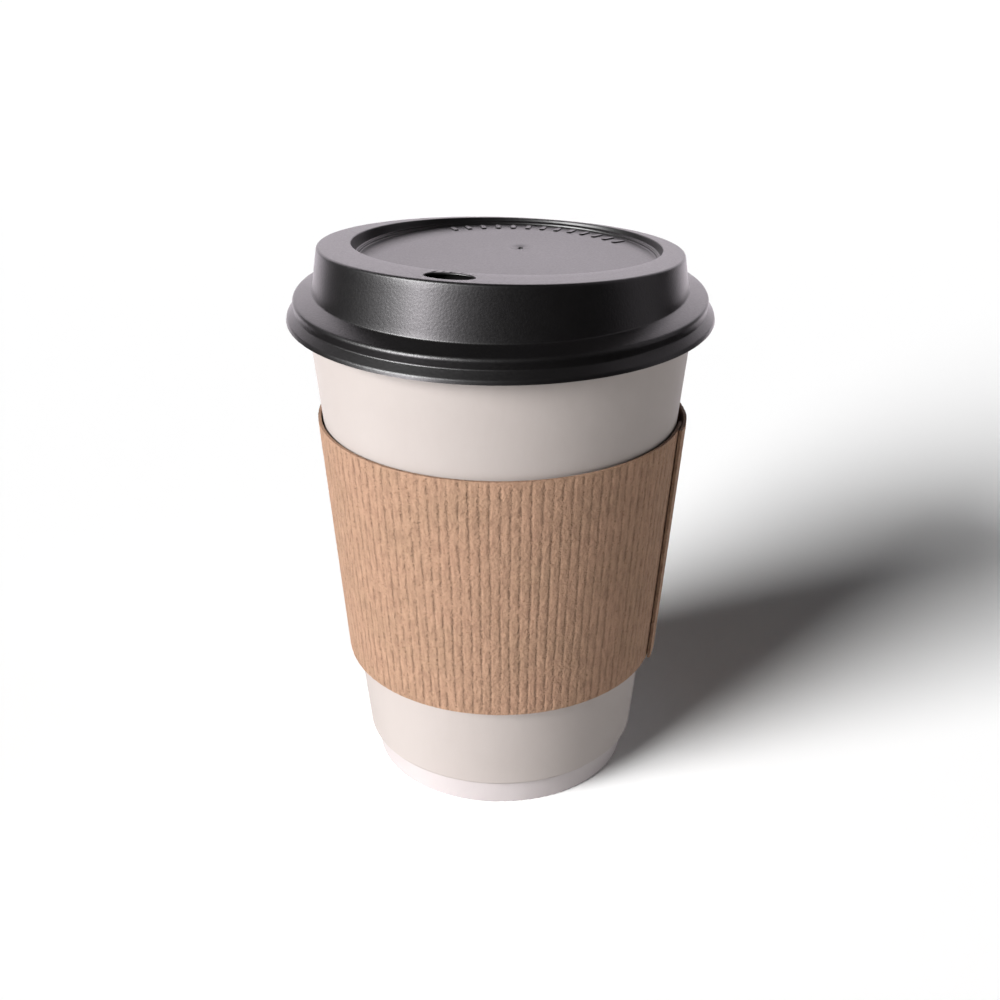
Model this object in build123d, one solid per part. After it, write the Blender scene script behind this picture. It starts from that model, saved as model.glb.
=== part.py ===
"""Double-wall paper coffee cup with a ribbed card sleeve and a formed plastic lid.

Frame: origin at the centre of the base ring, +Z up. The drinking side faces -Y.
All sizes are in millimetres. Every formed sheet is one solid.
"""
import os
from math import atan, cos, degrees, hypot, pi, radians, sin

from build123d import *

os.makedirs("parts", exist_ok=True)

# Cup: one tapered sheet, rolled out at the rim and folded in at the foot
cup_height = 115.7
base_radius = 30.25
wall_slope = 0.097
cup_paper = 0.33
rim_roll = 3.4
rim_turn = 300.0
foot_fold_radius = 0.2
foot_hem_height = 6.2
cup_seam_width = 8.0

# Bottom disc, held between the wall and its folded foot
disc_paper = 0.33
disc_height = 7.0
disc_bend_radius = 0.8
skirt_clearance = 0.03

# Outer wrap: the second wall, with a hem folded up inside its lower edge
wrap_paper = 0.3
wrap_bottom = 6.6
wrap_hem_height = 6.0
wrap_hem_gap = 0.75
wrap_fold_radius = 0.4
wrap_clearance = 0.05
wrap_seam_width = 8.0

# Sleeve: a ribbed card strip, wound once round and glued where its ends overlap
sleeve_bottom = 28.8
sleeve_height = 59.0
sleeve_sheet = 0.75
sleeve_clearance = 0.15
sleeve_ease = 1.1
rib_pitch = 2.1
rib_depth = 0.22
lap_width = 5.0
lap_edge_azimuth = -19.5
lap_ramp_width = 16.0
glue_gap = 0.2

# Lid: one formed sheet
lid_sheet = 0.45
seat_gap = 0.05
snap_clearance = 0.33
skirt_height = 5.63
skirt_step = 1.63
skirt_flare = 0.2
skirt_corner_radius = 0.9
neck_height = 3.23
neck_radius = 0.5
neck_slope_height = 1.6
bead_step = 0.35
bead_radius = 0.9
ledge_width = 4.41
ledge_slope = 0.357
foot_radius = 0.5
dome_slope = 0.153
dome_height = 8.77
lip_tilt = 4.9
lip_edge_radius = 0.7
lip_band = 5.56
recess_offset = 4.9
recess_depth = 3.0
recess_draft = 0.12
recess_edge_radius = 0.35
deck_tilt = 1.7
deck_step = 0.5
deck_ledge = 1.0
deck_corner_radius = 0.4
sip_azimuth = 17.0
sip_inset = 0.2
sip_length = 10.6
sip_width = 6.2
vent_radius = 0.45
vent_offset = 15.4

# Places that follow from the sizes above
slant = hypot(1, wall_slope)
seam_azimuth = 100.0
roll_centre_height = cup_height - rim_roll / 2
roll_line_radius = (rim_roll - cup_paper) / 2


def wall_radius(height, outward=0.0):
    """Radius at a height of the surface that lies this far outside the cup wall."""
    return base_radius + wall_slope * height + outward * slant


roll_centre_radius = wall_radius(roll_centre_height, roll_line_radius - cup_paper / 2)
rim_radius = roll_centre_radius + rim_roll / 2
wrap_outward = wrap_clearance + wrap_paper + wrap_hem_gap + wrap_paper
wrap_top = cup_height - rim_roll - wrap_clearance


def spin(section):
    """Revolve the part of an upright section that lies right of the axis."""
    size = 4 * cup_height
    half = Rectangle(size, size, align=(Align.MIN, Align.CENTER))
    return revolve(Plane.XZ * (section & half), Axis.Z)


def spin_sheet(line, thickness):
    """Revolve a sheet whose middle follows the line."""
    return spin(make_face(offset(line, thickness / 2).edges()))


def wall_band(inner, outer, low, high, width):
    """A strip of extra thickness up the wall, where two edges of a sheet overlap."""
    corners = [
        (wall_radius(low, inner), low),
        (wall_radius(low, outer), low),
        (wall_radius(high, outer), high),
        (wall_radius(high, inner), high),
    ]
    angle = degrees(width / wall_radius((low + high) / 2))
    section = Plane.XZ * make_face(Polyline(*corners, close=True))
    band = revolve(section, Axis.Z, angle)
    return Rot(0, 0, seam_azimuth - angle / 2) * band


def make_cup_wall():
    """Side wall with the rolled rim, the folded foot and the side seam."""
    middle = -cup_paper / 2
    hem = middle - cup_paper - disc_paper - 2 * skirt_clearance
    foot = cup_paper / 2
    roll_start = roll_centre_height + roll_line_radius * wall_slope / slant
    wall = FilletPolyline(
        (wall_radius(foot_hem_height, hem), foot_hem_height),
        (wall_radius(foot, hem), foot),
        (wall_radius(foot, middle), foot),
        (wall_radius(roll_start, middle), roll_start),
        radius=foot_fold_radius,
    )
    roll = CenterArc(
        (roll_centre_radius, roll_centre_height),
        roll_line_radius,
        180 - degrees(atan(wall_slope)),
        -rim_turn,
    )
    body = spin_sheet(Wire([*wall.edges(), *roll.edges()]), cup_paper)
    seam_low = disc_height + disc_paper + disc_bend_radius
    seam_high = cup_height - rim_roll
    return body + wall_band(-2 * cup_paper, middle, seam_low, seam_high, cup_seam_width)


def make_cup_bottom():
    """Flat disc with a skirt turned down between the wall and its fold."""
    middle = -cup_paper - skirt_clearance - disc_paper / 2
    disc = disc_height + disc_paper / 2
    skirt_end = cup_paper + skirt_clearance + disc_paper / 2 + foot_fold_radius
    line = FilletPolyline(
        (0, disc),
        (wall_radius(disc, middle), disc),
        (wall_radius(skirt_end, middle), skirt_end),
        radius=disc_bend_radius,
    )
    return spin_sheet(line, disc_paper)


def make_outer_wrap():
    """Second wall: hem folded up inside at the foot, overlapped seam at the back."""
    hem = wrap_clearance + wrap_paper / 2
    middle = wrap_outward - wrap_paper / 2
    fold = wrap_bottom + wrap_paper / 2
    hem_top = wrap_bottom + wrap_hem_height
    line = FilletPolyline(
        (wall_radius(hem_top, hem), hem_top),
        (wall_radius(fold, hem), fold),
        (wall_radius(fold, middle), fold),
        (wall_radius(wrap_top, middle), wrap_top),
        radius=wrap_fold_radius,
    )
    body = spin_sheet(line, wrap_paper)
    lap_face = wrap_outward + wrap_paper
    return body + wall_band(middle, lap_face, wrap_bottom + wrap_paper, wrap_top, wrap_seam_width)


def sleeve_section(inner_radius, height):
    """Level section of the sleeve: a ribbed strip wound round past its own end."""
    middle_radius = inner_radius + sleeve_sheet / 2
    lap_angle = degrees(lap_width / sleeve_middle)
    ramp_angle = degrees(lap_ramp_width / sleeve_middle)
    steps = 2 * round(radians(360 + lap_angle) * sleeve_middle / rib_pitch)
    inner, outer = [], []
    for step in range(steps + 1):
        turn = (360 + lap_angle) * step / steps
        fall = min(max((turn - lap_angle) / ramp_angle, 0), 1)
        lift = (sleeve_sheet + glue_gap) * (1 + cos(pi * fall)) / 2
        angle = radians(lap_edge_azimuth + turn)
        crest = middle_radius + sleeve_sheet / 2 + lift
        face = crest - (rib_depth if step % 2 else 0)
        inner.append(((inner_radius + lift) * cos(angle), (inner_radius + lift) * sin(angle)))
        outer.append((face * cos(angle), face * sin(angle)))
    outline = Polyline(*outer, *reversed(inner), close=True)
    return Pos(0, 0, height) * make_face(outline)


sleeve_top = sleeve_bottom + sleeve_height
sleeve_stand_off = wrap_outward + wrap_paper + sleeve_clearance
sleeve_inner_top = wall_radius(sleeve_top, sleeve_stand_off)
sleeve_inner_bottom = wall_radius(sleeve_bottom, sleeve_stand_off + sleeve_ease)
sleeve_middle = (sleeve_inner_top + sleeve_inner_bottom + sleeve_sheet) / 2


def make_sleeve():
    """Card jacket, ruled from its lower section to its upper one."""
    lower = sleeve_section(sleeve_inner_bottom, sleeve_bottom)
    upper = sleeve_section(sleeve_inner_top, sleeve_top)
    return loft([lower, upper], ruled=True)


ledge_rise = (rim_roll / 2 + seat_gap + lid_sheet) * hypot(1, ledge_slope)
ledge_height = roll_centre_height + ledge_rise
neck_outer_radius = rim_radius + snap_clearance + lid_sheet
bead_outer_radius = neck_outer_radius + bead_step
dome_foot = bead_outer_radius - ledge_width
recess_radius = dome_foot - dome_slope * dome_height - lip_band
sip_radius = recess_radius - sip_inset
skirt_edge = ledge_height - skirt_height
sip_direction = Vector(-sin(radians(sip_azimuth)), -cos(radians(sip_azimuth)), 0)


def ledge_point(radius):
    """Point of the sloping ledge's outer face at a radius."""
    return radius, ledge_height - ledge_slope * (radius - roll_centre_radius)


def tilted_plane(height, tilt):
    """Plane through the axis at a height, rising towards the drinking side."""
    normal = Vector(0, 0, 1) * cos(radians(tilt)) - sip_direction * sin(radians(tilt))
    return Plane(origin=(0, 0, height), z_dir=normal)


def recess_cut(inset):
    """Space above the sunken deck, grown by the inset on every side."""
    reach = 4 * dome_height
    lip_height = ledge_height + dome_height
    centre = sip_direction * -recess_offset
    cone = Cone(
        recess_radius + inset - recess_draft * reach / 2,
        recess_radius + inset + recess_draft * reach / 2,
        reach,
    )
    well = Cylinder(recess_radius - deck_ledge + inset, reach)
    cut = Part()
    steps = ((cone, recess_depth, inset), (well, recess_depth + deck_step, 0))
    for tool, depth, growth in steps:
        floor = tilted_plane(lip_height - depth - inset, deck_tilt)
        space = split(Pos(centre.X, centre.Y, lip_height) * tool, floor, keep=Keep.TOP)
        rim = space.faces().filter_by(floor).sort_by(Axis.Z)[0].edges()
        cut += fillet(rim, deck_corner_radius + growth)
    return cut


def lid_block(inset):
    """Solid block bounded by the lid's outer face moved inwards by the inset."""
    rise = 2 * dome_height
    skirt_radius = neck_outer_radius + skirt_step
    neck = ledge_height - neck_height
    skirt_corner = neck - neck_slope_height
    line = FilletPolyline(
        (skirt_radius + rise * skirt_flare, skirt_corner - rise),
        (skirt_radius, skirt_corner),
        (neck_outer_radius, neck),
        ledge_point(bead_outer_radius),
        ledge_point(dome_foot),
        (dome_foot - rise * dome_slope, ledge_point(dome_foot)[1] + rise),
        radius=[skirt_corner_radius, neck_radius, bead_radius, foot_radius],
    )
    start, end = line @ 0, line @ 1
    closing = Polyline(end, (-dome_height, end.Y), (-dome_height, start.Y), start)
    section = make_face([*line.edges(), *closing.edges()])
    if inset:
        section = offset(section, -inset)
    body = spin(section)
    lip = tilted_plane(ledge_height + dome_height - inset, lip_tilt)
    body = split(body, lip, keep=Keep.BOTTOM)
    lip_face = body.faces().filter_by(lip).sort_by(Axis.Z)[-1]
    body = fillet(lip_face.edges(), lip_edge_radius - inset) - recess_cut(inset)
    if recess_edge_radius > inset:
        lip_face = body.faces().filter_by(lip).sort_by(Axis.Z)[-1]
        body = fillet(lip_face.inner_wires()[0].edges(), recess_edge_radius - inset)
    return body


def make_lid():
    """Formed sheet between two nested blocks, with its sip hole and vent."""
    below = Pos(0, 0, skirt_edge) * Box(
        4 * rim_radius, 4 * rim_radius, 4 * dome_height, align=(Align.CENTER, Align.CENTER, Align.MAX)
    )
    sheet = lid_block(0) - lid_block(lid_sheet) - below
    sip_place = sip_direction * sip_radius
    drop = ledge_height + dome_height - recess_depth
    sip = Pos(sip_place.X, sip_place.Y, drop) * Rot(0, 0, -sip_azimuth) * extrude(
        Ellipse(sip_length / 2, sip_width / 2), dome_height
    )
    vent_place = sip_direction * -vent_offset
    vent = Pos(vent_place.X, vent_place.Y, drop) * Cylinder(vent_radius, dome_height)
    return sheet - sip - vent


parts = {
    "cup_wall": make_cup_wall(),
    "cup_bottom": make_cup_bottom(),
    "outer_wrap": make_outer_wrap(),
    "sleeve": make_sleeve(),
    "lid": make_lid(),
}
for name, shape in parts.items():
    export_step(shape, f"parts/{name}.step")
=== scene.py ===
"""Looks of a double-wall paper coffee cup with a ribbed card sleeve and a formed sip lid.

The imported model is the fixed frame: cup wall, bottom disc and outer wrap keep their solids
and get paper finishes, while the lid and the sleeve are formed again as finer sheets that
ride on the same bodies. Sizes of pieces are in millimetres, as on a maker's drawing.
"""
import logging
import math
from dataclasses import dataclass
from enum import Enum

import bmesh
import bpy
import numpy as np
from mathutils import Matrix, Vector, noise


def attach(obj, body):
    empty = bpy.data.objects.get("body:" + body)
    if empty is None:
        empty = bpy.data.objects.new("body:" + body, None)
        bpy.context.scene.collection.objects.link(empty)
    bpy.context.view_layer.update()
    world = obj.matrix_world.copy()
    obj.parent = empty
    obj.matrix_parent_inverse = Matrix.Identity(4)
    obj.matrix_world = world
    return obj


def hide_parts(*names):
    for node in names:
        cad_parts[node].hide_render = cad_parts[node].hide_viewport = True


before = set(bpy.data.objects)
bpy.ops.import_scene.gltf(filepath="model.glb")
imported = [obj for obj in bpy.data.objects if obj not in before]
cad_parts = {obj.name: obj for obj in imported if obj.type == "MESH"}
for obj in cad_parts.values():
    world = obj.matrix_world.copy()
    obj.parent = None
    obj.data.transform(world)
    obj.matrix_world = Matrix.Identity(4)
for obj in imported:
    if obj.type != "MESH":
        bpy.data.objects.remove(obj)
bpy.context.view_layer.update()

MM = 0.001
WHITE = (1.0, 1.0, 1.0)
BLACK = (0.0, 0.0, 0.0)
LOG = logging.getLogger("paper_cup")


class NoiseStretch(Enum):
    """How a finish's grain runs over the object."""

    EVEN = (1.0, 1.0, 1.0)
    UPRIGHT = (1.0, 1.0, 0.22)


class FinishGraph:
    """Node tree of one material, with short calls to add nodes and join them."""

    def __init__(self, name: str) -> None:
        """Start a material with one Principled shader.

        Args:
            name: the material's name.
        """
        self.material = bpy.data.materials.new(name)
        self.material.use_nodes = True
        self.tree = self.material.node_tree
        self.shader = self.tree.nodes["Principled BSDF"]

    def add(self, kind: str, inputs: dict | None = None, **settings) -> bpy.types.Node:
        """Add a node.

        Args:
            kind: the node's type name without its ShaderNode prefix.
            inputs: values or source sockets for the node's inputs, by input name or number.
            settings: attributes of the node itself.

        Returns:
            The new node.
        """
        node = self.tree.nodes.new("ShaderNode" + kind)
        for key, value in settings.items():
            setattr(node, key, value)
        for key, value in (inputs or {}).items():
            self.feed(node, key, value)
        return node

    def feed(self, node: bpy.types.Node, key: str | int, value: object) -> None:
        """Give a node's input a constant or join it to a socket.

        Args:
            node: the node that takes the value.
            key: the input's name or number.
            value: a constant, or another node's output socket.
        """
        if isinstance(value, bpy.types.NodeSocket):
            self.tree.links.new(value, node.inputs[key])
        else:
            node.inputs[key].default_value = value

    def place(self, stretch: NoiseStretch) -> bpy.types.NodeSocket:
        """Read the object's own coordinates, stretched as the grain runs.

        Args:
            stretch: the grain's direction.

        Returns:
            The coordinates' socket.
        """
        coordinates = self.add("TexCoord").outputs["Object"]
        mapping = self.add("Mapping", {"Vector": coordinates, "Scale": stretch.value})
        return mapping.outputs["Vector"]

    def grain(
        self, feature: float, stretch: NoiseStretch = NoiseStretch.EVEN, detail: float = 3.0
    ) -> bpy.types.NodeSocket:
        """Add an even noise.

        Args:
            feature: size of the noise's features, in millimetres.
            stretch: the grain's direction.
            detail: number of finer octaves.

        Returns:
            The noise value's socket.
        """
        inputs = {"Vector": self.place(stretch), "Scale": 1 / (feature * MM), "Detail": detail}
        return self.add("TexNoise", inputs).outputs["Fac"]

    def ramp(
        self, value: bpy.types.NodeSocket, stops: list[tuple[float, tuple[float, float, float]]]
    ) -> bpy.types.NodeSocket:
        """Add a row of colours that follow a value.

        Args:
            value: the value to follow.
            stops: places between 0 and 1 with their colours.

        Returns:
            The colour's socket.
        """
        node = self.add("ValToRGB", {"Fac": value})
        elements = node.color_ramp.elements
        while len(elements) < len(stops):
            elements.new(0.5)
        for element, (place, colour) in zip(elements, stops):
            element.position = place
            element.color = (*colour, 1.0)
        return node.outputs["Color"]

    def spread(
        self, value: bpy.types.NodeSocket, low: float, high: float
    ) -> bpy.types.NodeSocket:
        """Map a 0 to 1 value to a range.

        Args:
            value: the value to map.
            low: result at 0.
            high: result at 1.

        Returns:
            The mapped value's socket.
        """
        inputs = {"Value": value, "To Min": low, "To Max": high}
        return self.add("MapRange", inputs).outputs["Result"]

    def mix(
        self, factor: object, first: object, second: object, blend: str = "MIX"
    ) -> bpy.types.NodeSocket:
        """Mix two colours.

        Args:
            factor: share of the second colour, or a socket.
            first: first colour or socket.
            second: second colour or socket.
            blend: the way they mix.

        Returns:
            The mixed colour's socket.
        """
        node = self.add("Mix", data_type="RGBA", blend_type=blend)
        share_input, first_colour, second_colour, colour_output = 0, 6, 7, 2
        self.feed(node, share_input, factor)
        self.feed(node, first_colour, first)
        self.feed(node, second_colour, second)
        return node.outputs[colour_output]

    def relief(self, layers: list[tuple[bpy.types.NodeSocket, float]]) -> None:
        """Join several height layers to the shader's normal.

        Args:
            layers: heights between 0 and 1 with their depths in millimetres.
        """
        normal = None
        for height, depth in layers:
            inputs = {"Height": height, "Distance": abs(depth) * MM, "Strength": 1.0}
            bump = self.add("Bump", inputs, invert=depth < 0)
            if normal is not None:
                self.feed(bump, "Normal", normal)
            normal = bump.outputs["Normal"]
        self.feed(self.shader, "Normal", normal)


@dataclass(frozen=True)
class PaperFinish:
    """Smooth cup board with faint cloudiness and a fine fibre tooth."""

    name: str
    colour: tuple[float, float, float]
    cloud: tuple[float, float, float]
    roughness: float
    fleck: tuple[float, float, float] = (0.985, 0.983, 0.98)
    sheen: float = 0.35
    cloud_size: float = 16.0
    fibre_size: float = 0.9
    tooth_size: float = 0.35
    cloud_depth: float = 0.12
    tooth_depth: float = 0.006

    def make(self) -> bpy.types.Material:
        """Mix the paper's clouds, fibres and tooth.

        Returns:
            The material.
        """
        graph = FinishGraph(self.name)
        clouds = graph.grain(self.cloud_size, detail=4.0)
        colour = graph.ramp(clouds, [(0.35, self.cloud), (0.65, self.colour)])
        fibres = graph.grain(self.fibre_size, NoiseStretch.UPRIGHT, 5.0)
        flecks = graph.ramp(fibres, [(0.3, self.fleck), (0.62, WHITE)])
        graph.feed(graph.shader, "Base Color", graph.mix(1.0, colour, flecks, "MULTIPLY"))
        rough = graph.spread(fibres, self.roughness - 0.06, self.roughness + 0.08)
        graph.feed(graph.shader, "Roughness", rough)
        graph.shader.inputs["Specular IOR Level"].default_value = self.sheen
        tooth = graph.grain(self.tooth_size, detail=4.0)
        layers = [(clouds, self.cloud_depth), (fibres, self.tooth_depth), (tooth, self.tooth_depth)]
        graph.relief(layers)
        return graph.material


@dataclass(frozen=True)
class KraftFinish:
    """Brown kraft card: upright fibres, pits and grooves darkened with painted shade."""

    name: str
    pale: tuple[float, float, float]
    middle: tuple[float, float, float]
    dark: tuple[float, float, float]
    # groove: painted shade, the dark colour laid along each crease of the ribs
    groove: tuple[float, float, float]
    cool_cast: tuple[float, float, float] = (0.94, 0.93, 0.9)
    warm_cast: tuple[float, float, float] = (1.0, 0.965, 0.95)
    speck: tuple[float, float, float] = (0.66, 0.57, 0.5)
    sheen: float = 0.2
    fibre_size: float = 0.7
    cloud_size: float = 11.0
    pit_size: float = 0.6
    tear_size: float = 0.42
    wrinkle_size: float = 0.8
    raggedness: float = 1.3
    crease_shade_share: float = 0.36
    crease_depth: float = 0.11
    wrinkle_depth: float = 0.34
    pit_depth: float = 0.08

    def crease(self, graph: FinishGraph) -> bpy.types.NodeSocket:
        """Break the mesh's groove attribute up into ragged creases.

        Args:
            graph: the material's node tree.

        Returns:
            A socket that is 1 in a crease and 0 beside it.
        """
        depth = graph.add("Attribute", attribute_name="groove").outputs["Fac"]
        tears = graph.grain(self.tear_size, NoiseStretch.EVEN, 6.0)
        ragged = graph.spread(tears, -self.raggedness, self.raggedness)
        broken = graph.add("Math", {0: depth, 1: ragged}, operation="ADD").outputs[0]
        return graph.ramp(broken, [(0.42, BLACK), (0.85, WHITE)])

    def make(self) -> bpy.types.Material:
        """Mix the card's fibres, casts, creases, specks and wrinkles; the creases' dark colour is
        painted shade.

        Returns:
            The material.
        """
        graph = FinishGraph(self.name)
        fibres = graph.grain(self.fibre_size, NoiseStretch.UPRIGHT, 6.0)
        clouds = graph.grain(self.cloud_size, NoiseStretch.EVEN, 4.0)
        pits = graph.grain(self.pit_size, NoiseStretch.EVEN, 3.0)
        tone = graph.ramp(fibres, [(0.3, self.dark), (0.5, self.middle), (0.72, self.pale)])
        cast = graph.ramp(clouds, [(0.35, self.cool_cast), (0.65, self.warm_cast)])
        tone = graph.mix(1.0, tone, cast, "MULTIPLY")
        crease = self.crease(graph)
        # painted shade: darken the card along each crease with the groove colour
        share = graph.spread(crease, 0.0, self.crease_shade_share)
        tone = graph.mix(share, tone, (*self.groove, 1.0))
        specks = graph.ramp(pits, [(0.3, self.speck), (0.38, WHITE)])
        graph.feed(graph.shader, "Base Color", graph.mix(0.8, tone, specks, "MULTIPLY"))
        graph.feed(graph.shader, "Roughness", graph.spread(fibres, 0.78, 0.95))
        graph.shader.inputs["Specular IOR Level"].default_value = self.sheen
        wrinkles = graph.grain(self.wrinkle_size, NoiseStretch.EVEN, 7.0)
        creased = (crease, -self.crease_depth)
        graph.relief([creased, (wrinkles, self.wrinkle_depth), (pits, self.pit_depth)])
        return graph.material


@dataclass(frozen=True)
class MouldedFinish:
    """Satin black plastic sheet with a fine pebbled grain."""

    name: str
    colour: tuple[float, float, float]
    roughness: float = 0.38
    sheen: float = 0.5
    paler: float = 1.3
    cloud_size: float = 12.0
    pebble_size: float = 0.5
    pebble_depth: float = 0.026

    def make(self) -> bpy.types.Material:
        """Mix the plastic's tone, gloss and pebbled grain.

        Returns:
            The material.
        """
        graph = FinishGraph(self.name)
        clouds = graph.grain(self.cloud_size)
        pebbles = graph.grain(self.pebble_size, detail=2.0)
        fine = graph.grain(self.pebble_size / 3, detail=2.0)
        pale = tuple(self.paler * channel for channel in self.colour)
        colour = graph.ramp(clouds, [(0.35, self.colour), (0.75, pale)])
        graph.feed(graph.shader, "Base Color", colour)
        rough = graph.spread(pebbles, self.roughness - 0.05, self.roughness + 0.07)
        graph.feed(graph.shader, "Roughness", rough)
        graph.shader.inputs["Specular IOR Level"].default_value = self.sheen
        graph.relief([(pebbles, self.pebble_depth), (fine, self.pebble_depth / 4)])
        return graph.material


COATED_PAPER = PaperFinish("cup_paper", (0.373, 0.339, 0.339), (0.36, 0.326, 0.326), 0.5)
BOTTOM_PAPER = PaperFinish("bottom_paper", (0.52, 0.48, 0.47), (0.5, 0.46, 0.45), 0.5)
WRAP_PAPER = PaperFinish("wrap_paper", (0.312, 0.279, 0.264), (0.306, 0.272, 0.257), 0.62)
KRAFT_CARD = KraftFinish(
    "kraft_card",
    pale=(0.302, 0.191, 0.131),
    middle=(0.26, 0.162, 0.109),
    dark=(0.211, 0.127, 0.086),
    # groove colour is painted shade in the ribs' creases
    groove=(0.112, 0.066, 0.043),
)
LID_PLASTIC = MouldedFinish("lid_plastic", (0.0022, 0.0019, 0.002))


def ring_faces(rows: int, columns: int, start: int = 0, closed: bool = True) -> np.ndarray:
    """List the faces between neighbouring rows of a grid of points.

    Args:
        rows: number of rows.
        columns: points in a row.
        start: number of the grid's first point.
        closed: whether the last column joins the first.

    Returns:
        An array of four point numbers for each face.
    """
    across = columns if closed else columns - 1
    row, column = np.meshgrid(np.arange(rows - 1), np.arange(across), indexing="ij")
    after = (column + 1) % columns
    corners = [row * columns + column, row * columns + after]
    corners += [(row + 1) * columns + after, (row + 1) * columns + column]
    return start + np.stack([corner.ravel() for corner in corners], axis=1)


def grid_border(rows: int, columns: int) -> np.ndarray:
    """Number the points round the edge of a grid, in order.

    Args:
        rows: number of rows.
        columns: points in a row.

    Returns:
        The points' numbers.
    """
    grid = np.arange(rows * columns).reshape(rows, columns)
    return np.concatenate([grid[0], grid[1:, -1], grid[-1, -2::-1], grid[-2:0:-1, 0]])


def make_piece(
    name: str, points: np.ndarray, faces: list, finish: bpy.types.Material, sharp: float = 40.0
) -> bpy.types.Object:
    """Make a smooth-shaded mesh object.

    Args:
        name: the piece's name.
        points: its points, in millimetres.
        faces: its faces, as point numbers.
        finish: its material.
        sharp: edges that turn by more than this many degrees stay sharp.

    Returns:
        The object, linked to the scene.
    """
    mesh = bpy.data.meshes.new(name)
    mesh.from_pydata((points * MM).tolist(), [], [list(map(int, face)) for face in faces])
    shape = bmesh.new()
    shape.from_mesh(mesh)
    bmesh.ops.recalc_face_normals(shape, faces=shape.faces)
    shape.to_mesh(mesh)
    shape.free()
    mesh.materials.append(finish)
    mesh.shade_smooth()
    mesh.set_sharp_from_angle(angle=math.radians(sharp))
    piece = bpy.data.objects.new(name, mesh)
    bpy.context.scene.collection.objects.link(piece)
    return piece


def cut_away(piece: bpy.types.Object, cutter: bpy.types.Object) -> None:
    """Cut one closed mesh out of another and delete the cutter.

    Args:
        piece: the mesh that is cut.
        cutter: the mesh that is taken away.
    """
    modifier = piece.modifiers.new("cut", "BOOLEAN")
    modifier.object = cutter
    modifier.solver = "EXACT"
    graph = bpy.context.evaluated_depsgraph_get()
    mesh = bpy.data.meshes.new_from_object(piece.evaluated_get(graph))
    piece.modifiers.clear()
    piece.data = mesh
    bpy.data.objects.remove(cutter)


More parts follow.
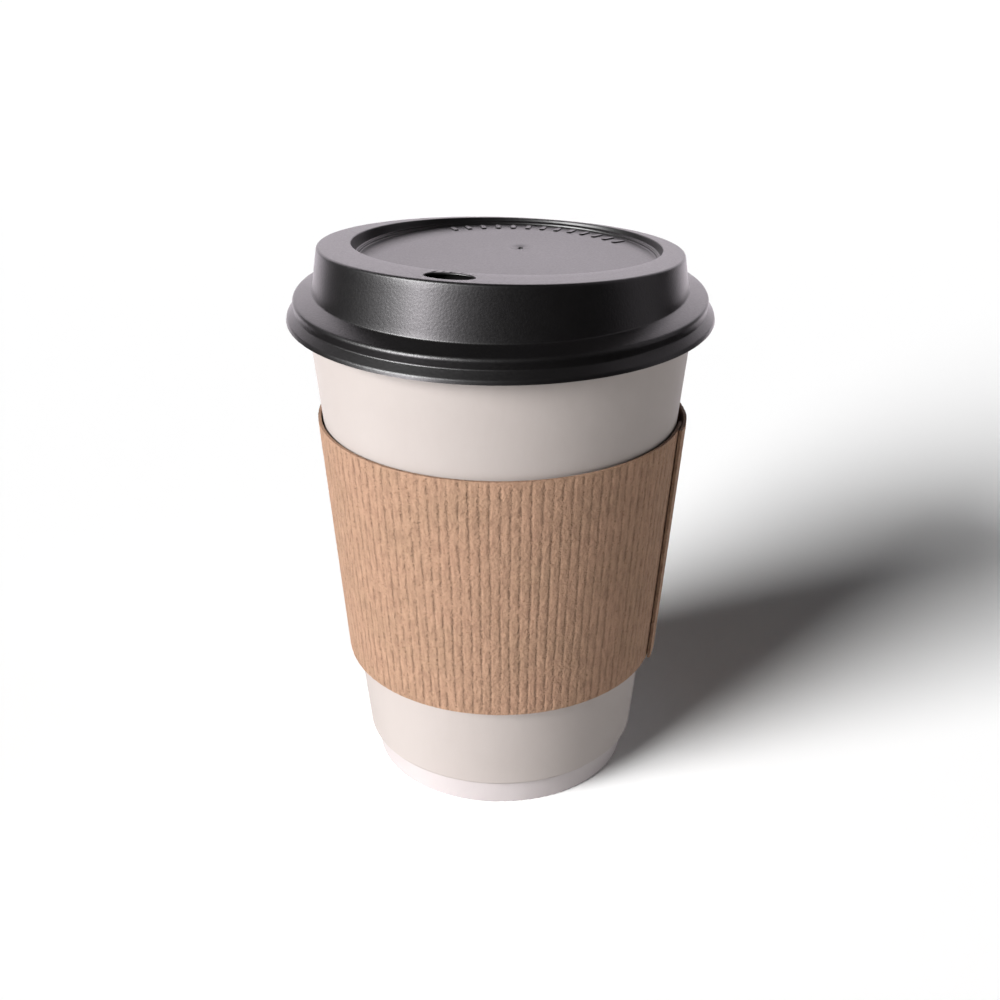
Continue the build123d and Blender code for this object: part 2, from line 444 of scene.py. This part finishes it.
@dataclass
class SipLid:
    """Lid formed from one sheet: skirt, snap neck, dome wall, tilted lip and sunken deck."""

    sheet: float = 0.45
    skirt_edge: tuple[float, float] = (46.95, 110.7)
    skirt_corner: tuple[float, float] = (46.79, 111.5)
    neck: tuple[float, float] = (45.16, 113.1)
    shoulder: tuple[float, float] = (45.51, 115.33)
    dome_foot: tuple[float, float] = (41.1, 116.9)
    skirt_round: float = 0.9
    neck_round: float = 0.4
    shoulder_round: float = 0.9
    foot_round: float = 0.5
    lip_round: float = 0.7
    recess_round: float = 0.35
    deck_round: float = 0.4
    ledge_round: float = 0.2
    least_round: float = 0.05
    hollow_growth: float = 0.8
    step_share: float = 0.6
    arc_rows: int = 7
    dome_slope: float = 0.153
    lip_height: float = 125.1
    lip_tilt: float = 4.9
    recess_radius: float = 34.2
    recess_offset: float = 4.9
    recess_draft: float = 0.12
    recess_depth: float = 3.0
    deck_tilt: float = 1.7
    deck_ledge: float = 1.0
    deck_step: float = 0.5
    step_draft: float = 0.15
    deck_middle: float = 0.25
    sip_azimuth: float = 17.0
    sip_radius: float = 34.0
    sip_length: float = 10.6
    sip_width: float = 6.2
    sip_round: float = 0.25
    vent_offset: float = 15.4
    vent_radius: float = 0.45
    vent_round: float = 0.12
    dimple_radius: float = 3.4
    dimple_depth: float = 0.45
    mark_count: int = 13
    mark_pitch: float = 6.9
    mark_radius: float = 30.2
    mark_length: float = 3.6
    mark_width: float = 1.5
    mark_height: float = 0.34
    mark_taper: float = 0.35
    mark_sink: float = 0.03
    mark_skirt: float = 0.12
    mark_rows: int = 15
    mark_columns: int = 9
    columns: int = 288
    deck_rings: int = 46
    hole_columns: int = 72
    hole_below: float = 4.0
    hole_above: float = 2.5

    def __post_init__(self) -> None:
        """Work out the directions that the lid is laid out along."""
        turn = math.radians(self.sip_azimuth)
        self.sip_way = np.array([-math.sin(turn), -math.cos(turn)])
        self.recess_centre = -self.recess_offset * self.sip_way
        self.angles = np.linspace(0, 2 * math.pi, self.columns, endpoint=False)
        self.rays = np.stack([np.cos(self.angles), np.sin(self.angles)], axis=1)

    def plane_height(self, place: np.ndarray, height: float, tilt: float) -> np.ndarray:
        """Find the height of a plane that rises towards the drinking side.

        Args:
            place: points in plan.
            height: the plane's height on the axis.
            tilt: its tilt in degrees.

        Returns:
            One height for each point.
        """
        return height + math.tan(math.radians(tilt)) * (place @ self.sip_way)

    def level_ring(self, radius: float, height: float) -> np.ndarray:
        """Make a level ring about the axis.

        Args:
            radius: the ring's radius.
            height: its height.

        Returns:
            The ring's points.
        """
        return np.column_stack([self.rays * radius, np.full(self.columns, height)])

    def deck_ring(self, radius: float, height: float, tilt: float) -> np.ndarray:
        """Make a ring about the recess's centre, on a tilted plane.

        Args:
            radius: the ring's radius in plan.
            height: the plane's height on the axis.
            tilt: the plane's tilt in degrees.

        Returns:
            The ring's points.
        """
        place = self.recess_centre + self.rays * radius
        return np.column_stack([place, self.plane_height(place, height, tilt)])

    def lip_ring(self, foot: tuple[float, float], inset: float) -> np.ndarray:
        """Make the ring where the dome wall meets the lip's plane.

        Args:
            foot: radius and height of the wall's foot.
            inset: how far the surface lies inside the lid's outer face.

        Returns:
            The ring's points.
        """
        height = self.lip_height - inset / math.cos(math.radians(self.lip_tilt))
        rise = math.tan(math.radians(self.lip_tilt)) * (self.rays @ self.sip_way)
        radius = foot[0] - self.dome_slope * (height - foot[1])
        radius = radius / (1 + self.dome_slope * rise)
        place = self.rays * radius[:, None]
        return np.column_stack([place, self.plane_height(place, height, self.lip_tilt)])

    def outline(self, inset: float) -> list[tuple[float, float]]:
        """Draw the skirt up to the dome's foot in an upright section, moved inwards.

        Args:
            inset: how far to move it.

        Returns:
            Radius and height of each corner.
        """
        rise = self.lip_height - self.dome_foot[1]
        top = (self.dome_foot[0] - self.dome_slope * rise, self.dome_foot[1] + rise)
        corners = [self.skirt_edge, self.skirt_corner, self.neck, self.shoulder]
        corners = [np.array(corner) for corner in (*corners, self.dome_foot, top)]
        ways = [(b - a) / np.linalg.norm(b - a) for a, b in zip(corners, corners[1:])]
        sides = [np.array([-way[1], way[0]]) * inset for way in ways]
        moved = [corners[0] + sides[0]]
        for number in range(1, len(corners) - 1):
            before, after = ways[number - 1], ways[number]
            start, end = corners[number] + sides[number - 1], corners[number] + sides[number]
            step = np.linalg.solve(np.column_stack([before, -after]), end - start)
            moved.append(start + before * step[0])
        moved[0][1] = self.skirt_edge[1]
        return [tuple(corner) for corner in moved]

    def corner_rings(self, inset: float) -> list[tuple[np.ndarray, float, int]]:
        """List the corners of one face of the sheet, from the skirt's edge to the deck's middle.

        Args:
            inset: how far the face lies inside the lid's outer face.

        Returns:
            For each corner, its ring, its rounding radius and the number of plain rows
            that lead up to it.
        """
        skirt = self.outline(inset)
        lip = self.lip_height - inset
        ledge = self.lip_height - self.recess_depth - inset
        deck = ledge - self.deck_step
        recess = self.recess_radius + inset
        wall_foot = recess - self.recess_draft * self.recess_depth
        well = recess - self.deck_ledge
        convex = [self.skirt_round, self.shoulder_round, self.lip_round, self.recess_round]
        convex = [max(radius - inset, self.least_round) for radius in convex]
        hollow = [self.neck_round, self.foot_round, self.deck_round]
        hollow = [radius + inset * self.hollow_growth for radius in hollow]
        step_round = hollow[2] * self.step_share
        ledge_round = self.least_round if inset else self.ledge_round
        return [
            (self.level_ring(*skirt[0]), 0.0, 1),
            (self.level_ring(*skirt[1]), convex[0], 2),
            (self.level_ring(*skirt[2]), hollow[0], 1),
            (self.level_ring(*skirt[3]), convex[1], 1),
            (self.level_ring(*skirt[4]), hollow[1], 3),
            (self.lip_ring(skirt[4], inset), convex[2], 8),
            (self.deck_ring(recess, lip, self.lip_tilt), convex[3], 3),
            (self.deck_ring(wall_foot, ledge, self.deck_tilt), hollow[2], 2),
            (self.deck_ring(well, ledge, self.deck_tilt), ledge_round, 1),
            (self.deck_ring(well - self.step_draft, deck, self.deck_tilt), step_round, 1),
            (self.deck_ring(self.deck_middle, deck, self.deck_tilt), 0.0, self.deck_rings),
        ]

    def rounded_rows(self, inset: float) -> np.ndarray:
        """Lay rows of points over one face of the sheet, with every corner rounded.

        Args:
            inset: how far the face lies inside the lid's outer face.

        Returns:
            Points in rows and columns.
        """
        corners = self.corner_rings(inset)
        rows = [corners[0][0]]
        for number in range(1, len(corners)):
            ring, radius, plain = corners[number]
            into = rows[-1] - ring
            into /= np.linalg.norm(into, axis=1)[:, None]
            arc = [ring]
            if radius:
                out = corners[number + 1][0] - ring
                out /= np.linalg.norm(out, axis=1)[:, None]
                half = np.arccos(np.clip((into * out).sum(1), -1, 1)) / 2
                reach = (radius / np.tan(half))[:, None]
                weight = np.sin(half)[:, None]
                arc = []
                for share in np.linspace(0, 1, self.arc_rows):
                    near, mid, far = (1 - share) ** 2, 2 * share * (1 - share) * weight, share**2
                    total = near * (ring + into * reach) + mid * ring + far * (ring + out * reach)
                    arc.append(total / (near + mid + far))
            start = rows[-1]
            for step in range(1, plain + 1):
                rows.append(start + (arc[0] - start) * step / plain)
            rows.extend(arc[1:])
        return self.dimpled(np.array(rows))

    def dimpled(self, rows: np.ndarray) -> np.ndarray:
        """Press the shallow dimple around the vent into rows of points.

        Args:
            rows: points in rows and columns.

        Returns:
            The same points, with the dimple pressed in.
        """
        vent = -self.vent_offset * self.sip_way
        reach = np.linalg.norm(rows[..., :2] - vent, axis=2) / self.dimple_radius
        press = np.where(reach < 1, (1 + np.cos(math.pi * np.clip(reach, 0, 1))) / 2, 0)
        on_deck = rows[..., 2] < self.lip_height
        rows[..., 2] -= self.dimple_depth * press**1.5 * on_deck
        return rows

    def shell(self, finish: bpy.types.Material) -> bpy.types.Object:
        """Make the closed sheet, before its holes are cut.

        Args:
            finish: the lid's material.

        Returns:
            The sheet.
        """
        outer, inner = self.rounded_rows(0.0), self.rounded_rows(self.sheet)
        points = np.concatenate([outer.reshape(-1, 3), inner.reshape(-1, 3)])
        columns, second = self.columns, outer.shape[0] * self.columns
        faces = ring_faces(outer.shape[0], columns).tolist()
        faces += ring_faces(inner.shape[0], columns, second)[:, ::-1].tolist()
        edge = np.arange(columns)
        after = (edge + 1) % columns
        rim = np.stack([after, edge, second + edge, second + after], axis=1)
        faces += rim.tolist()
        faces.append((second - columns + edge).tolist())
        faces.append((len(points) - columns + edge)[::-1].tolist())
        return make_piece("sip_lid", points, faces, finish)

    def hole_cutter(
        self, half_sizes: tuple[float, float], centre: np.ndarray, tilt: float, rounding: float
    ) -> bpy.types.Object:
        """Make an upright oval cutter that flares at the sheet's outer face.

        Args:
            half_sizes: half the oval's length across and its width outwards.
            centre: the hole's middle, on the sheet's outer face.
            tilt: tilt of the sheet there, in degrees.
            rounding: radius of the hole's upper edge.

        Returns:
            The cutter.
        """
        levels = [(-self.hole_below, 0.0), (-rounding, 0.0)]
        for angle in np.linspace(0.15, 1.0, 6) * math.pi / 2:
            levels.append((rounding * (math.sin(angle) - 1), rounding * (1 - math.cos(angle))))
        levels.append((self.hole_above, rounding))
        slope = math.radians(tilt)
        outward = np.array([*self.sip_way * math.cos(slope), math.sin(slope)])
        across = np.array([-self.sip_way[1], self.sip_way[0], 0.0])
        upward = np.cross(across, outward)
        upward *= np.sign(upward[2])
        count = self.hole_columns
        angles = np.linspace(0, 2 * math.pi, count, endpoint=False)
        rows = []
        for lift, growth in levels:
            ring = centre + upward * lift
            ring = ring + np.outer(np.cos(angles) * (half_sizes[0] + growth), across)
            rows.append(ring + np.outer(np.sin(angles) * (half_sizes[1] + growth), outward))
        points = np.concatenate(rows)
        faces = ring_faces(len(rows), count).tolist()
        faces += [list(range(count))[::-1], list(range(len(points) - count, len(points)))]
        cutter = make_piece("cutter", points, faces, bpy.data.materials.new("cutter"))
        bpy.context.view_layer.update()
        return cutter

    def cut_holes(self, lid: bpy.types.Object) -> None:
        """Cut the sip hole and the vent through the sheet.

        Args:
            lid: the sheet.
        """
        sip = self.sip_way * self.sip_radius
        height = self.plane_height(sip, self.lip_height, self.lip_tilt)
        sizes = (self.sip_length / 2, self.sip_width / 2)
        place = np.array([*sip, height])
        cut_away(lid, self.hole_cutter(sizes, place, self.lip_tilt, self.sip_round))
        vent = -self.sip_way * self.vent_offset
        deck = self.lip_height - self.recess_depth - self.deck_step
        height = self.plane_height(vent, deck, self.deck_tilt) - self.dimple_depth
        sizes = (self.vent_radius, self.vent_radius)
        place = np.array([*vent, height])
        cut_away(lid, self.hole_cutter(sizes, place, self.deck_tilt, self.vent_round))

    def mark_top(self, outward: np.ndarray) -> np.ndarray:
        """Shape the rounded top of one bar.

        Args:
            outward: direction from the recess's centre to the bar.

        Returns:
            Its points, row by row from the inner end.
        """
        deck = self.lip_height - self.recess_depth - self.deck_step
        sideways = np.array([-outward[1], outward[0]])
        points = []
        for v in np.linspace(-1, 1, self.mark_rows):
            for u in np.linspace(-1, 1, self.mark_columns):
                fullness = math.sqrt(1 - v**6) * math.sqrt(1 - u**2)
                side = u * self.mark_width / 2 * (1 - self.mark_taper * v**6)
                distance = self.mark_radius + v * self.mark_length / 2
                place = self.recess_centre + sideways * side + outward * distance
                lift = self.mark_height * fullness**0.6 - self.mark_sink
                points.append((*place, self.plane_height(place, deck, self.deck_tilt) + lift))
        return np.array(points)

    def marks(self, finish: bpy.types.Material) -> bpy.types.Object:
        """Make the row of plain raised bars round the back of the deck.

        Args:
            finish: the lid's material.

        Returns:
            All the bars as one piece.
        """
        border = grid_border(self.mark_rows, self.mark_columns)
        points, faces = [], []
        for number in range(self.mark_count):
            swing = math.radians((number - (self.mark_count - 1) / 2) * self.mark_pitch)
            top = self.mark_top(np.array(Matrix.Rotation(swing, 2) @ Vector(-self.sip_way)))
            first = len(points)
            edge = first + border
            ring = first + len(top) + np.arange(len(border))
            points.extend(top)
            points.extend(top[border] - (0, 0, self.mark_skirt))
            faces += ring_faces(self.mark_rows, self.mark_columns, first, closed=False).tolist()
            faces += np.stack([edge, ring, np.roll(ring, -1), np.roll(edge, -1)], axis=1).tolist()
            faces.append(ring.tolist())
        return make_piece("deck_marks", np.array(points), faces, finish)

    def build(self) -> list[bpy.types.Object]:
        """Build the lid and its marks and seat them on the lid's body.

        Returns:
            The pieces.
        """
        finish = LID_PLASTIC.make()
        lid = self.shell(finish)
        self.cut_holes(lid)
        marks = self.marks(finish)
        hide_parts("lid")
        for piece in (lid, marks):
            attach(piece, "lid")
        return [lid, marks]


@dataclass(frozen=True)
class Waver:
    """Smooth change along a groove, which takes its own course in each groove.

    Attributes:
        amount: how large the change is.
        spacing: how far neighbouring grooves differ.
        quickness: how fast it changes with height.
        layer: keeps it apart from the other wavers.
    """

    amount: float
    spacing: float
    quickness: float
    layer: float

    def at(self, rib: float, height: float) -> float:
        """Read the change at a place on the strip.

        Args:
            rib: place along the strip, counted in ribs.
            height: height on the strip, in millimetres.

        Returns:
            The change, above or below zero.
        """
        place = (rib * self.spacing, height * self.quickness, self.layer)
        return self.amount * noise.noise(place)


@dataclass
class RibbedSleeve:
    """Kraft jacket: a ribbed strip wound once round, its outer end lapped over the inner."""

    bottom: float = 28.8
    height: float = 59.0
    inner_bottom: float = 36.0
    inner_top: float = 40.62
    sheet: float = 0.75
    lap_edge: float = -19.5
    lap_width: float = 5.0
    ramp_width: float = 16.0
    glue_gap: float = 0.2
    rib_pitch: float = 2.08
    groove_width: float = 0.23
    groove_depth: float = 0.15
    blunt_side: float = 0.62
    strength: float = 0.75
    least_strength: float = 0.12
    pit_depth: float = 0.07
    pit_share: float = 0.25
    edge_strength: float = 0.35
    edge_fade: float = 0.8
    edge_crush: float = 0.06
    columns_per_rib: int = 9
    outer_rows: int = 72
    inner_rows: int = 6
    slow_wander: Waver = Waver(0.16, 3.7, 0.05, 1.3)
    quick_wander: Waver = Waver(0.07, 5.1, 0.7, 7.7)
    slow_fading: Waver = Waver(0.6, 2.3, 0.3, 4.2)
    quick_fading: Waver = Waver(0.55, 6.1, 1.6, 9.1)
    pitting: Waver = Waver(1.0, 1.6, 0.9, 3.1)

    def strip(self) -> tuple[np.ndarray, np.ndarray, np.ndarray]:
        """Wind the strip round the cup.

        Returns:
            For each column its angle in radians, its lift off the cup in millimetres and
            its place counted in ribs.
        """
        middle = (self.inner_bottom + self.inner_top + self.sheet) / 2
        lap = self.lap_width / middle
        ramp = self.ramp_width / middle
        length = 2 * math.pi + lap
        ribs = round(length * middle / self.rib_pitch)
        turn = np.linspace(0, length, ribs * self.columns_per_rib + 1)
        fall = np.clip((turn - lap) / ramp, 0, 1)
        lift = (self.sheet + self.glue_gap) * (1 + np.cos(math.pi * fall)) / 2
        return turn + math.radians(self.lap_edge), lift, turn * middle / self.rib_pitch

    def groove(self, rib: float, height: float) -> float:
        """Find how deep the grooves are at a place on the strip.

        Args:
            rib: place along the strip, counted in ribs.
            height: height on the strip, in millimetres.

        Returns:
            0 on a rib's crest and up to 1 in a groove.
        """
        whole = math.floor(rib)
        depth = 0.0
        for number in (whole, whole + 1):
            wander = self.slow_wander.at(number, height) + self.quick_wander.at(number, height)
            fading = self.slow_fading.at(number, height) + self.quick_fading.at(number, height)
            strength = min(max(self.strength + fading, self.least_strength), 1.0)
            gap = (rib - number - wander) * self.rib_pitch / self.groove_width
            width = 1.0 if gap > 0 else self.blunt_side
            depth = max(depth, strength * math.exp(-((gap * width) ** 2)))
        return depth

    def inner_radius(self, level: float) -> float:
        """Find the radius of the sleeve's inner face, away from its lap.

        Args:
            level: share of the sleeve's height, from 0 to 1.

        Returns:
            The radius.
        """
        return self.inner_bottom + (self.inner_top - self.inner_bottom) * level

    def ring(self, rays: np.ndarray, radius: np.ndarray, level: float) -> np.ndarray:
        """Place one row of the strip.

        Args:
            rays: direction of each column in plan.
            radius: radius of each column.
            level: share of the sleeve's height, from 0 to 1.

        Returns:
            The row's points.
        """
        heights = np.full(len(rays), self.bottom + level * self.height)
        return np.column_stack([rays * radius[:, None], heights])

    def build(self) -> bpy.types.Object:
        """Build the sleeve and seat it on its body.

        Returns:
            The sleeve.
        """
        angles, lifts, ribs = self.strip()
        rays = np.stack([np.cos(angles), np.sin(angles)], axis=1)
        points, grooves = [], []
        for level in np.linspace(0, 1, self.outer_rows):
            height = level * self.height
            edge = min(level, 1 - level)
            fade = min(1.0, self.edge_strength + edge * self.height / self.edge_fade)
            depth = fade * np.array([self.groove(rib, height) for rib in ribs])
            pits = np.array([self.pitting.at(rib, height) for rib in ribs])
            face = self.inner_radius(level) + self.sheet + lifts - self.groove_depth * depth
            face -= self.pit_depth * np.clip(pits + self.pit_share, 0, 1)
            face -= 0.0 if edge else self.edge_crush
            points.append(self.ring(rays, face, level))
            grooves.append(depth)
        for level in np.linspace(0, 1, self.inner_rows):
            points.append(self.ring(rays, self.inner_radius(level) + lifts, level))
            grooves.append(np.zeros(len(ribs)))
        sleeve = self.close(points, KRAFT_CARD.make())
        attribute = sleeve.data.attributes.new("groove", "FLOAT", "POINT")
        attribute.data.foreach_set("value", np.concatenate(grooves).astype(np.float32))
        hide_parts("sleeve")
        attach(sleeve, "sleeve")
        return sleeve

    def close(self, points: list[np.ndarray], finish: bpy.types.Material) -> bpy.types.Object:
        """Join the strip's two faces round all four edges.

        Args:
            points: rows of points, the outer face's first.
            finish: the card's material.

        Returns:
            The closed strip.
        """
        columns = len(points[0])
        outer, total = self.outer_rows, len(points)
        second = outer * columns
        faces = ring_faces(outer, columns, closed=False).tolist()
        faces += ring_faces(total - outer, columns, second, closed=False)[:, ::-1].tolist()
        last_outer, last_inner = second - columns, (total - 1) * columns
        for column in range(columns - 1):
            after = column + 1
            faces.append([after, column, second + column, second + after])
            upper = [last_outer + column, last_outer + after]
            faces.append([*upper, last_inner + after, last_inner + column])
        for column, flip in ((0, 1), (columns - 1, -1)):
            up = [row * columns + column for row in range(outer)]
            down = [second + row * columns + column for row in range(total - outer)][::-1]
            faces.append((up + down)[::flip][::-1])
        return make_piece("ribbed_sleeve", np.concatenate(points), faces, finish, sharp=55.0)


@dataclass
class PaperCup:
    """The cup's own sheets, which keep their solids and get paper finishes."""

    wall: str = "cup_wall"
    bottom: str = "cup_bottom"
    wrap: str = "outer_wrap"

    def dress(self) -> list[bpy.types.Object]:
        """Give each sheet its paper.

        Returns:
            The dressed nodes.
        """
        papers = {self.wall: COATED_PAPER, self.bottom: BOTTOM_PAPER, self.wrap: WRAP_PAPER}
        nodes = []
        for name, paper in papers.items():
            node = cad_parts[name]
            node.data.materials.clear()
            node.data.materials.append(paper.make())
            nodes.append(node)
        return nodes


@dataclass(frozen=True)
class Panel:
    """Soft rectangular light that shows only in glossy surfaces.

    Attributes:
        name: the light's name.
        azimuth: degrees from the front towards the right.
        elevation: degrees above the floor.
        distance: metres from the cup.
        size: width and height in metres.
        level: brightness of its face.
    """

    name: str
    azimuth: float
    elevation: float
    distance: float
    size: tuple[float, float]
    level: float


@dataclass(frozen=True)
class DistantLight:
    """Light that is soft and even over the whole floor.

    Attributes:
        name: the light's name.
        azimuth: degrees from the front towards the right.
        elevation: degrees above the floor.
        spread: how wide it looks from the cup, in degrees.
        level: light that it gives a surface facing it.
        glossy: whether glossy surfaces show it.
    """

    name: str
    azimuth: float
    elevation: float
    spread: float
    level: float
    glossy: bool


def direction(azimuth: float, elevation: float) -> Vector:
    """Find the direction from the cup towards a light.

    Args:
        azimuth: degrees from the front towards the right.
        elevation: degrees above the floor.

    Returns:
        The direction.
    """
    turn, rise = math.radians(azimuth), math.radians(elevation)
    level = math.cos(rise)
    return Vector((math.sin(turn) * level, -math.cos(turn) * level, math.sin(rise)))


@dataclass
class Studio:
    """Pale floor, soft lights and the camera."""

    lens: float = 50.0
    sensor: float = 36.0
    camera_shift: float = -0.1
    camera_distance: float = 295.45
    camera_height: float = 204.25
    camera_pitch: float = 25.33
    aim_height: float = 70.0
    floor_side: float = 6000.0
    floor_tone: float = 0.97
    surroundings: float = 0.035
    panel_tint: tuple[float, float, float] = (1.0, 0.92, 0.99)
    distant_lights: tuple[DistantLight, ...] = (
        DistantLight("key", -54.7, 22.0, 33.0, 8.1, True),
        DistantLight("fill", 92.0, 0.0, 30.0, 0.95, False),
    )
    panels: tuple[Panel, ...] = (
        Panel("back", 180.0, 28.0, 2.2, (4.4, 1.5), 2.6),
        Panel("rear", 180.0, -12.0, 2.2, (4.4, 1.3), 2.4),
        Panel("side", -47.0, 4.0, 1.1, (0.17, 0.5), 30.0),
        Panel("right", 92.0, 18.0, 2.2, (1.3, 3.2), 0.6),
    )

    def floor(self) -> bpy.types.Object:
        """Make the pale floor.

        Returns:
            The floor.
        """
        graph = FinishGraph("studio_floor")
        tone = self.floor_tone
        graph.shader.inputs["Base Color"].default_value = (tone, tone, tone, 1.0)
        graph.shader.inputs["Roughness"].default_value = 0.9
        graph.shader.inputs["Specular IOR Level"].default_value = 0.1
        side = self.floor_side
        points = np.array([(-side, -side, 0), (side, -side, 0), (side, side, 0), (-side, side, 0)])
        floor = make_piece("studio_floor", points, [[0, 1, 2, 3]], graph.material)
        floor.visible_glossy = False
        floor.visible_shadow = False
        return floor

    def aim(self, data: bpy.types.Light, way: Vector, distance: float) -> bpy.types.Object:
        """Stand a light off the cup, turned towards it.

        Args:
            data: the light's settings.
            way: direction from the cup towards the light.
            distance: metres from the cup.

        Returns:
            The light.
        """
        light = bpy.data.objects.new(data.name, data)
        light.location = Vector((0, 0, self.aim_height * MM)) + way * distance
        light.rotation_euler = way.to_track_quat("Z", "Y").to_euler()
        bpy.context.scene.collection.objects.link(light)
        return light

    def hang_panel(self, panel: Panel) -> bpy.types.Object:
        """Hang one soft panel.

        Args:
            panel: its place, size and level.

        Returns:
            The light.
        """
        data = bpy.data.lights.new(panel.name, "AREA")
        data.shape = "RECTANGLE"
        data.size, data.size_y = panel.size
        data.energy = panel.level * math.pi * panel.size[0] * panel.size[1]
        data.color = self.panel_tint
        light = self.aim(data, direction(panel.azimuth, panel.elevation), panel.distance)
        light.visible_camera = False
        light.visible_diffuse = False
        return light

    def set_distant_light(self, plan: DistantLight) -> bpy.types.Object:
        """Set one distant light.

        Args:
            plan: its direction, spread and level.

        Returns:
            The light.
        """
        data = bpy.data.lights.new(plan.name, "SUN")
        data.angle = math.radians(plan.spread)
        data.energy = plan.level
        light = self.aim(data, direction(plan.azimuth, plan.elevation), 1.0)
        light.visible_glossy = plan.glossy
        return light

    def camera(self) -> bpy.types.Object:
        """Make the camera, in front of the cup and looking down at it.

        Returns:
            The camera.
        """
        data = bpy.data.cameras.new("camera")
        data.lens = self.lens
        data.sensor_width = self.sensor
        data.clip_start, data.clip_end = 0.01, 30.0
        camera = bpy.data.objects.new("camera", data)
        place = Vector((self.camera_shift, -self.camera_distance, self.camera_height))
        camera.location = place * MM
        camera.rotation_euler = (math.radians(90 - self.camera_pitch), 0, 0)
        bpy.context.scene.collection.objects.link(camera)
        bpy.context.scene.camera = camera
        return camera

    def world(self) -> bpy.types.World:
        """Light the surroundings evenly.

        Returns:
            The world.
        """
        world = bpy.data.worlds.new("studio")
        world.use_nodes = True
        background = world.node_tree.nodes["Background"]
        background.inputs["Color"].default_value = (*WHITE, 1.0)
        background.inputs["Strength"].default_value = self.surroundings
        world.cycles_visibility.glossy = False
        bpy.context.scene.world = world
        return world

    def build(self) -> list[bpy.types.Object]:
        """Set the whole stage.

        Returns:
            The lights.
        """
        self.camera()
        self.floor()
        self.world()
        view = bpy.context.scene.view_settings
        view.view_transform = "Standard"
        view.look = "None"
        lights = [self.set_distant_light(plan) for plan in self.distant_lights]
        return lights + [self.hang_panel(panel) for panel in self.panels]


def main() -> None:
    """Build every piece in order and report each one."""
    logging.basicConfig(level=logging.INFO, format="%(name)s: %(message)s")
    for node in PaperCup().dress():
        LOG.info("%s dressed as %s", node.name, node.data.materials[0].name)
    for piece in [RibbedSleeve().build(), *SipLid().build()]:
        LOG.info("%s: %d faces", piece.name, len(piece.data.polygons))
    LOG.info("stage set with %d lights", len(Studio().build()))


if __name__ == "__main__":
    main()
